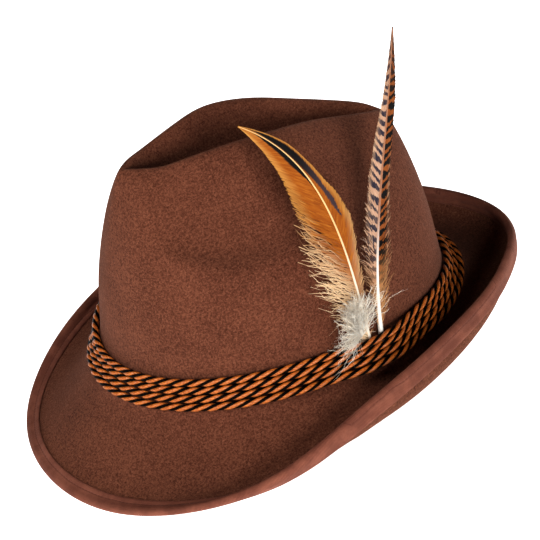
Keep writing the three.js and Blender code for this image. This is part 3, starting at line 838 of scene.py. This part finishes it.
def barb_row(make, size, roots, blade, side, label):
    """The barbs on one side of the shaft, and their mark: along, across and random."""
    forward, outward = shaft_axes(make)
    along, loose = named(make, "along"), named(make, f"{label}_loose")
    slant, lock, seed = size.out("Slant"), size.out("Lock"), size.out("Seed") + 7 * side
    sway, cut = random_value(make, seed, -1.0), random_value(make, seed + 1)

    angle = slant + loose * 0.3 + sway * (loose * 0.22 + 0.012)
    sideways = make.cross(forward, outward) * side
    heading = forward * angle.single("COSINE") + sideways * angle.single("SINE")
    facing = outward + sideways * (loose * sway * 0.5)
    fray = size.out("Fray") + loose * 0.45
    length = named(make, f"{label}_reach") / slant.single("SINE") * (1 - fray * cut)
    cell = along / lock + make.noise(make.combine(along * 40, side, 0), 1) * 1.5
    pull = (cell.single("FLOOR") + 0.5 - cell) * lock * (loose * 0.9 + 0.02)
    for key, value in (("length", length), ("pull", pull), ("loose", loose), ("random", cut)):
        roots = store(make, roots, key, value)
    barbs = plant(make, roots, blade, heading, facing, 1 - loose * 0.55, SHORTEST_BARB)

    across, reach = named(make, "across"), named(make, "length")
    swing = reach * named(make, "loose")
    up = reach * size.out("Bend") * across**2 + named(make, "pull") * across**2 * 0.16
    inward = reach * size.out("Cup") * across**2
    lift = swing * across * size.out("Lift")
    curl = wind(make, BARB_SCATTER, BARB_WIND) * (swing * across**1.6 * size.out("Curl"))
    offset = forward * up - outward * inward + outward * lift + curl
    bent = make("GeometryNodeSetPosition", None, {"Geometry": barbs, "Offset": offset})
    return bent, make.combine(along, across * side, named(make, "random"))


def vane_tree(name, vane_surface, quill_surface):
    """A whole feather: its front barbs, its back barbs and its quill."""
    tree, make, size = geometry_tree(
        name, Barbs=400, Width=0.0006, Thickness=0.00016, Slant=0.66, Bend=0.25,
        Lock=0.03, Cup=0.1, Lift=0.12, Fray=0.06, Curl=0.95, Seed=1,
    )
    shaft, roots = shaft_roots(make, size, "Barbs")
    blade = barb_blade(make, size.out("Width"), size.out("Thickness"))
    branches = []
    for side, label in ((-1, "front"), (1, "back")):
        barbs, mark = barb_row(make, size, roots, blade, side, label)
        branches.append(painted(make, barbs, mark, vane_surface))

    circle = {"Resolution": 8, "Radius": 1.0}
    ring = make("GeometryNodeCurvePrimitiveCircle", None, circle, "Curve")
    values = {"Curve": shaft, "Profile Curve": ring, "Scale": named(make, "thick"),
              "Fill Caps": True}
    quill = make("GeometryNodeCurveToMesh", None, values)
    mark = make.combine(named(make, "along"), 0.0, 0.5)
    branches.append(painted(make, quill, mark, quill_surface))
    end_tree(make, branches)
    return tree


# %% [markdown]
# ## Hackle
#
# The front feather is a rooster's hackle: ginger, paler at the edges, with a slate stripe
# beside the shaft on one side and a black line on the other. Low down it turns into loose
# cream barbs. All of this follows the barbs, so the pattern is drawn on the numbers that
# the tree left on them, how far along the shaft and how far across the vane.

# %% Hackle material
GINGER = (0.2, srgb(112, 50, 6)), (0.5, srgb(158, 86, 16)), (0.85, srgb(192, 124, 42))
GOLD = srgb(166, 106, 42), srgb(214, 166, 92)
CREAM = srgb(214, 166, 108), srgb(250, 234, 204)
SLATE = srgb(70, 54, 58), srgb(10, 7, 7)
LINE_BLACK = srgb(9, 6, 5)


def vane_marks(make):
    """What the tree left on a barb: its place along the shaft, how far out across the vane,
    1 if it's at the back, and fine light and dark streaks, one for each barb."""
    vane = make.surface("vane")
    along, signed, chance = vane.out("X"), vane.out("Y"), vane.out("Z")
    across = signed.single("ABSOLUTE")
    streak = make.noise(make.combine(along * 260, across * 1.5, chance * 6), 1.0, 2, 0.6)
    return along, across, signed > 0, streak


def hackle_material():
    """Ginger with a golden edge and a cream foot, a slate stripe behind and a line in front."""
    made, make, shader = material("ginger_vane", 0.6, Specular_IOR_Level=0.12)
    along, across, back, streak = vane_marks(make)
    ragged = (streak - 0.5) * 0.18
    edge = (across + ragged).between(0.55, 0.98) * 0.75 + along.between(0.8, 0.98) * 0.4
    colour = make.mix(edge.clamp(), make.ramp(streak, *GINGER), make.mix(streak, *GOLD))
    low = (1 - (along + ragged * 1.5 - across * 0.16).between(0.04, 0.3)) * (1 - back * 0.6)
    colour = make.mix(low, colour, make.mix(streak, *CREAM))

    high = along.between(0.52, 0.74)
    centre = 0.56 - high * 0.14
    reach = along.between(0.36, 0.5) * (1 - along.between(0.86, 0.99)) * (high * 0.26 + 0.17)
    away = (across - centre + ragged * 1.5).single("ABSOLUTE")
    stripe = (1 - (away / (reach + 0.001)).between(0.65, 1.1)) * back * (reach > 0.03)
    colour = make.mix(stripe, colour, make.mix((high + ragged).clamp(), *SLATE))

    reach = along.between(0.58, 0.74) * (1 - along.between(0.84, 0.97)) * 0.34
    line = (1 - ((across + ragged * 0.5) / (reach + 0.001)).between(0.7, 1.1)) * (1 - back)
    colour = make.mix(line * (reach > 0.03), colour, LINE_BLACK)
    feed(make, shader, colour)
    return made


def quill_material(name, low, high):
    """Smooth horn, from one colour at the foot to another higher up."""
    made, make, shader = material(name, 0.35)
    along = make.surface("vane").out("X")
    grain = make.noise(make.stretched(make.place(), (1, 1, 0.15)), 1400, 2)
    colour = make.mix(along.between(0.12, 0.45), low, high)
    colour = make.mix(grain * 0.12, colour, srgb(180, 132, 84))
    feed(make, shader, colour, grain, 0.05 * MM, 0.4)
    return made


hackle_surface = hackle_material()
hackle_quill = quill_material("hackle_quill", srgb(255, 248, 232), srgb(232, 196, 134))

# %% Hackle
HACKLE_HANDLES = (-4.1, 2.3, 53.9), (-5.9, 45.9, -47.5)
HACKLE_OUTWARD = (0.982, 0.19, -0.025)
HACKLE_WIDTH = 30 * MM
HACKLE_SLANT = math.radians(33)
HACKLE_BEND = 0.12
HACKLE_THICK = (0.85, 0.75, 0.22)
HACKLE_ROWS = [
    # along, front, back, front looseness, back looseness
    (0.00, 0.16, 0.06, 1.00, 1.00),
    (0.10, 0.34, 0.10, 1.00, 0.90),
    (0.20, 0.50, 0.14, 1.00, 0.50),
    (0.31, 0.60, 0.22, 0.75, 0.12),
    (0.44, 0.60, 0.36, 0.25, 0.05),
    (0.52, 0.57, 0.32, 0.12, 0.03),
    (0.60, 0.53, 0.23, 0.04, 0.02),
    (0.70, 0.43, 0.18, 0.02, 0.02),
    (0.80, 0.31, 0.15, 0.01, 0.01),
    (0.92, 0.14, 0.06, 0.01, 0.01),
    (1.00, 0.01, 0.01, 0.01, 0.01),
]
hackle = shaft_object(
    "hackle", ends_of("feather_hackle"), HACKLE_HANDLES, HACKLE_OUTWARD,
    HACKLE_WIDTH, HACKLE_ROWS, HACKLE_SLANT, HACKLE_BEND, HACKLE_THICK,
)
grow(hackle, vane_tree("hackle_vane", hackle_surface, hackle_quill),
     Barbs=560, Width=0.95 * MM, Slant=HACKLE_SLANT, Bend=HACKLE_BEND,
     Lock=0.035, Fray=0.02, Seed=3)
replace_nodes(hackle, "hackle", "feather_hackle")

# %% [markdown]
# ## Tail feather
#
# The feather behind it is narrow and barred like a pheasant's. The bars lie along the
# barbs and so slope up from the shaft on both sides: slate on a pinkish cream ground in
# front, and nearly black on rust behind. Their spacing is a wave along the shaft that a
# little noise makes uneven.

# %% Tail feather material
BAR_COUNT = 31
FRONT_GROUND = srgb(150, 108, 84), srgb(226, 190, 162)
BACK_GROUND = srgb(92, 42, 12), srgb(178, 104, 46)
PALE_RIM = srgb(170, 124, 92), srgb(226, 194, 160)
BAR_COLOURS = srgb(50, 46, 60), srgb(10, 6, 4)
DARK_TIP = srgb(38, 32, 40), srgb(120, 74, 44)
WARM_FOOT = srgb(156, 92, 40), srgb(222, 178, 128)


def tail_material():
    """Uneven bars on a ground that is cream in front and rust behind, with a pale rim."""
    made, make, shader = material("barred_vane", 0.6, Specular_IOR_Level=0.12)
    along, across, back, streak = vane_marks(make)
    drift = make.noise(make.combine(along * 14, back * 5, 0.0), 1.0, 1) * 1.7
    level = across * (back * 0.5 + 1.1)
    wave = (along * BAR_COUNT + drift + back * 0.4 + level).wave()
    bar = (wave + (streak - 0.5) * 0.9 + back * 0.08).between(0.4, 0.58)
    patch = make.noise(make.combine(along * 55, across * 2.2 + back * 9, 0.0), 1.0, 1)
    bar = bar * (patch * 0.8 + 0.55 + back * 0.3).clamp() * across.between(0.02, 0.14)

    ground = make.mix(back, make.mix(streak, *FRONT_GROUND), make.mix(streak, *BACK_GROUND))
    rim = across.between(0.62, 0.98) * (1 - along.between(0.35, 0.6) * back)
    ground = make.mix(rim * 0.7, ground, make.mix(streak, *PALE_RIM))
    colour = make.mix(bar * (1 - rim * 0.45), ground, make.mix(back, *BAR_COLOURS))
    tip = along.between(0.72, 0.95)
    colour = make.mix(tip * 0.55, colour, make.mix(streak, *DARK_TIP))
    foot = 1 - along.between(0.06, 0.26)
    colour = make.mix(foot, colour, make.mix(streak, *WARM_FOOT))
    feed(make, shader, colour)
    return made


# %% Tail feather
TAIL_HANDLES = (-5.3, 8.9, 59.5), (8.6, -21.1, -53.7)
TAIL_OUTWARD = (0.966, 0.256, -0.034)
TAIL_WIDTH = 17 * MM
TAIL_SLANT = math.radians(30)
TAIL_BEND = 0.1
TAIL_THICK = (1.5, 0.95, 0.25)
TAIL_ROWS = [
    # along, front, back, front looseness, back looseness
    (0.00, 0.07, 0.07, 1.00, 1.00),
    (0.12, 0.20, 0.34, 1.00, 0.90),
    (0.24, 0.42, 0.48, 0.70, 0.50),
    (0.38, 0.48, 0.48, 0.20, 0.18),
    (0.52, 0.46, 0.42, 0.08, 0.12),
    (0.66, 0.36, 0.38, 0.05, 0.10),
    (0.78, 0.20, 0.36, 0.05, 0.16),
    (0.90, 0.10, 0.20, 0.04, 0.10),
    (1.00, 0.02, 0.02, 0.02, 0.02),
]
tail = shaft_object(
    "tail_feather", ends_of("feather_tail"), TAIL_HANDLES, TAIL_OUTWARD,
    TAIL_WIDTH, TAIL_ROWS, TAIL_SLANT, TAIL_BEND, TAIL_THICK,
)
tail_quill = quill_material("tail_quill", srgb(255, 252, 244), srgb(160, 108, 76))
grow(tail, vane_tree("tail_vane", tail_material(), tail_quill),
     Barbs=520, Width=0.85 * MM, Slant=TAIL_SLANT, Bend=TAIL_BEND,
     Lock=0.03, Fray=0.04, Seed=11)
replace_nodes(tail, "tail_feather", "feather_tail")

# %% [markdown]
# ## Down
#
# The foot of the plume is a tuft of white down. A down barb is a soft thread that carries
# finer threads on both sides, and that makes it look wide and blurred. One such wisp is
# modelled once with few faces. A tree scatters it up a short shaft, spreads it to the sides
# and then bends every wisp its own way with a noise.

# %% Wisps
WISP_SEGMENTS = 9
WISP_RADIUS = 0.15 * MM
BARBULES = 14
BARBULE_RADIUS = 0.085 * MM
BARBULE_STEP = 0.4 * MM
SHORTEST_WISP = 0.5 * MM
WISP_SCATTER, WISP_WIND = 0.7, 60.0


def wisp_object():
    """A thread from 0 to 1 on X with short threads on both sides; widths are in metres."""
    work = bmesh.new()

    def spike(start, end, radius, segments):
        """A closed three-sided thread that narrows to a point."""
        start, end = Vector(start), Vector(end)
        rings = []
        for i in range(segments):
            middle = start.lerp(end, i / segments)
            size = radius * (1 - 0.6 * i / segments)
            rings.append([work.verts.new(middle + Vector(place)) for place in (
                (0, size, -size * 0.15), (0, -size, -size * 0.15), (0, 0, size * 0.35))])
        tip = work.verts.new(end)
        work.faces.new(rings[0])
        for near, far in zip(rings, rings[1:]):
            for k in range(3):
                work.faces.new((near[k], near[k - 1], far[k - 1], far[k]))
        for k in range(3):
            work.faces.new((rings[-1][k], rings[-1][k - 1], tip))

    spike((0, 0, 0), (1, 0, 0), WISP_RADIUS, WISP_SEGMENTS)
    for i in range(BARBULES):
        x = 0.1 + 0.85 * i / BARBULES
        side = 1 if i % 2 else -1
        reach = (1.5 - 0.8 * x) * MM
        end = (x + 0.07, side * reach, BARBULE_STEP * (i % 3 - 1))
        spike((x, 0, 0), end, BARBULE_RADIUS, 1)
    bmesh.ops.recalc_face_normals(work, faces=work.faces)
    made = finish_bmesh(work, "wisp")
    across = made.data.attributes.new("across", "FLOAT", "POINT")
    across.data.foreach_set("value", [v.co.x for v in made.data.vertices])
    return made


def tuft_tree(name, wisp, surface):
    """Wisps up the shaft, spread to both sides, the front ones more outward."""
    tree, make, size = geometry_tree(
        name, Wisps=300, Short=0.008, Long=0.02, Spread=1.2, Front=0.5, Curl=0.006, Seed=1,
    )
    roots = shaft_roots(make, size, "Wisps")[1]
    forward, outward = shaft_axes(make)
    short, seed = size.out("Short"), size.out("Seed")
    side = (random_value(make, seed) > size.out("Front")) * 2 - 1
    fan = random_value(make, seed + 1) * size.out("Spread") * (0.85 - side * 0.15) + 0.15
    lift = random_value(make, seed + 2, 0.0, 0.35) + (side < 0) * 0.3
    sideways = make.cross(forward, outward) * side
    heading = forward * fan.single("COSINE") + sideways * fan.single("SINE") + outward * lift
    facing = outward + sideways * random_value(make, seed + 3, -0.45, 0.45)
    length = short + (size.out("Long") - short) * random_value(make, seed + 4)**1.6
    roots = store(make, roots, "length", length * named(make, "front_reach"))
    roots = store(make, roots, "random", random_value(make, seed + 5))
    model = make("GeometryNodeObjectInfo", None, {"Object": wisp}, "Geometry")
    wisps = plant(make, roots, model, heading, facing, 1.0, SHORTEST_WISP)

    across = named(make, "across")
    curl = wind(make, WISP_SCATTER, WISP_WIND) * (size.out("Curl") * across**1.4)
    bent = make("GeometryNodeSetPosition", None, {"Geometry": wisps, "Offset": curl})
    mark = make.combine(named(make, "along"), across, named(make, "random"))
    end_tree(make, [painted(make, bent, mark, surface)])
    return tree


# %% [markdown]
# The short shaft of the tuft stands a little in front of the hackle's foot. The wisps get
# shorter up the shaft, so the tuft is full below and thin above.

# %% Tuft of down
DOWN_WHITES = (
    (0.1, srgb(250, 236, 214)), (0.5, srgb(255, 247, 232)), (0.95, srgb(255, 252, 244)))
DOWN_TIPS = srgb(250, 230, 204)
DOWN_SHIFT = np.array((4.4, -5.0, 4.5)) * MM
DOWN_RISE = np.array((-1.6, -1.0, 19.0)) * MM
DOWN_HANDLES = (0, 0, 10), (0, -1, -9)
DOWN_OUTWARD = (0.974, 0.223, -0.03)
DOWN_SLANT = math.radians(90)
# place along the shaft, share of a wisp's length
DOWN_REACH = (0.00, 1.00), (0.30, 0.85), (0.50, 0.45), (1.00, 0.25)


def down_material():
    """Every wisp has a white of its own, a little warmer at its tip."""
    made, make, shader = material("white_down", 0.8, Sheen_Weight=0.3)
    vane = make.surface("vane")
    chance, across = vane.out("Z"), vane.out("Y")
    colour = make.ramp(chance, *DOWN_WHITES)
    colour = make.mix(across.between(0.5, 1.0) * 0.3, colour, DOWN_TIPS)
    feed(make, shader, colour)
    return made


down_foot = ends_of("feather_hackle")[0] + DOWN_SHIFT
down_tip = down_foot + TUCK * np.array((0, 0, 1)) + DOWN_RISE
down = shaft_object(
    "down_tuft", (down_foot, down_tip), DOWN_HANDLES, DOWN_OUTWARD, 1.0,
    [(along, reach, 0.0, 1.0, 1.0) for along, reach in DOWN_REACH], DOWN_SLANT, 0.0,
)
wisp = wisp_object()
grow(down, tuft_tree("tuft", wisp, down_material()),
     Wisps=1150, Short=11 * MM, Long=36 * MM, Spread=1.55, Front=0.6, Curl=30 * MM, Seed=5)
bpy.data.objects.remove(wisp)
replace_nodes(down, "down", "feather_down")

# %% [markdown]
# ## Studio
#
# The hat stands on white paper that lights it from below and all round. Two soft lamps add
# the form: one low at the wearer's left, which draws the dent and the cords, and one high in
# front. The paper glows by itself, so it's white to the edge of the picture, and only the
# camera sees the room as white: to everything else it's nearly dark.

# %% Studio
FLOOR_SIZE = 40.0
FLOOR_GLOW = 1.2
LOW_LAMP = 2.3
HIGH_LAMP = 2.1
LAMP_SOFTNESS = math.radians(25)
LAMP_DISTANCE = 2.0
ROOM_LIGHT = 0.02
CONTRAST = 0.85


def studio_floor():
    """Glowing white paper under the hat."""
    half = FLOOR_SIZE / 2
    corners = [(-half, -half, 0), (half, -half, 0), (half, half, 0), (-half, half, 0)]
    mesh = bpy.data.meshes.new("floor")
    mesh.from_pydata(corners, [], [(0, 1, 2, 3)])
    paper = material(
        "white_paper", 0.9, Base_Color=(0.8, 0.8, 0.8, 1), Emission_Color=(1, 1, 1, 1),
        Emission_Strength=FLOOR_GLOW,
    )[0]
    mesh.materials.append(paper)
    new_object("floor", mesh)


def lamp(name, azimuth, elevation, strength):
    """A large soft lamp that shines on the hat from the given side."""
    data = bpy.data.lights.new(name, "SUN")
    data.energy = strength
    data.angle = LAMP_SOFTNESS
    made = new_object(name, data)
    place = AIM + direction_to_camera(azimuth, elevation) * LAMP_DISTANCE
    made.matrix_world = look_from(place, AIM)


def white_room():
    """White to the camera, and nearly dark to everything else."""
    world = bpy.data.worlds.new("room")
    world.use_nodes = True
    world.node_tree.nodes.clear()
    make = Maker(world.node_tree)
    seen = make("ShaderNodeLightPath", None, None, "Is Camera Ray")
    strength = seen * (1 - ROOM_LIGHT) + ROOM_LIGHT
    light = make("ShaderNodeBackground", None, {"Color": (1, 1, 1, 1), "Strength": strength})
    make("ShaderNodeOutputWorld", None, {"Surface": light})
    scene.world = world


studio_floor()
lamp("low", 86, 15, LOW_LAMP)
lamp("high", 10, 48, HIGH_LAMP)
white_room()
scene.view_settings.gamma = CONTRAST
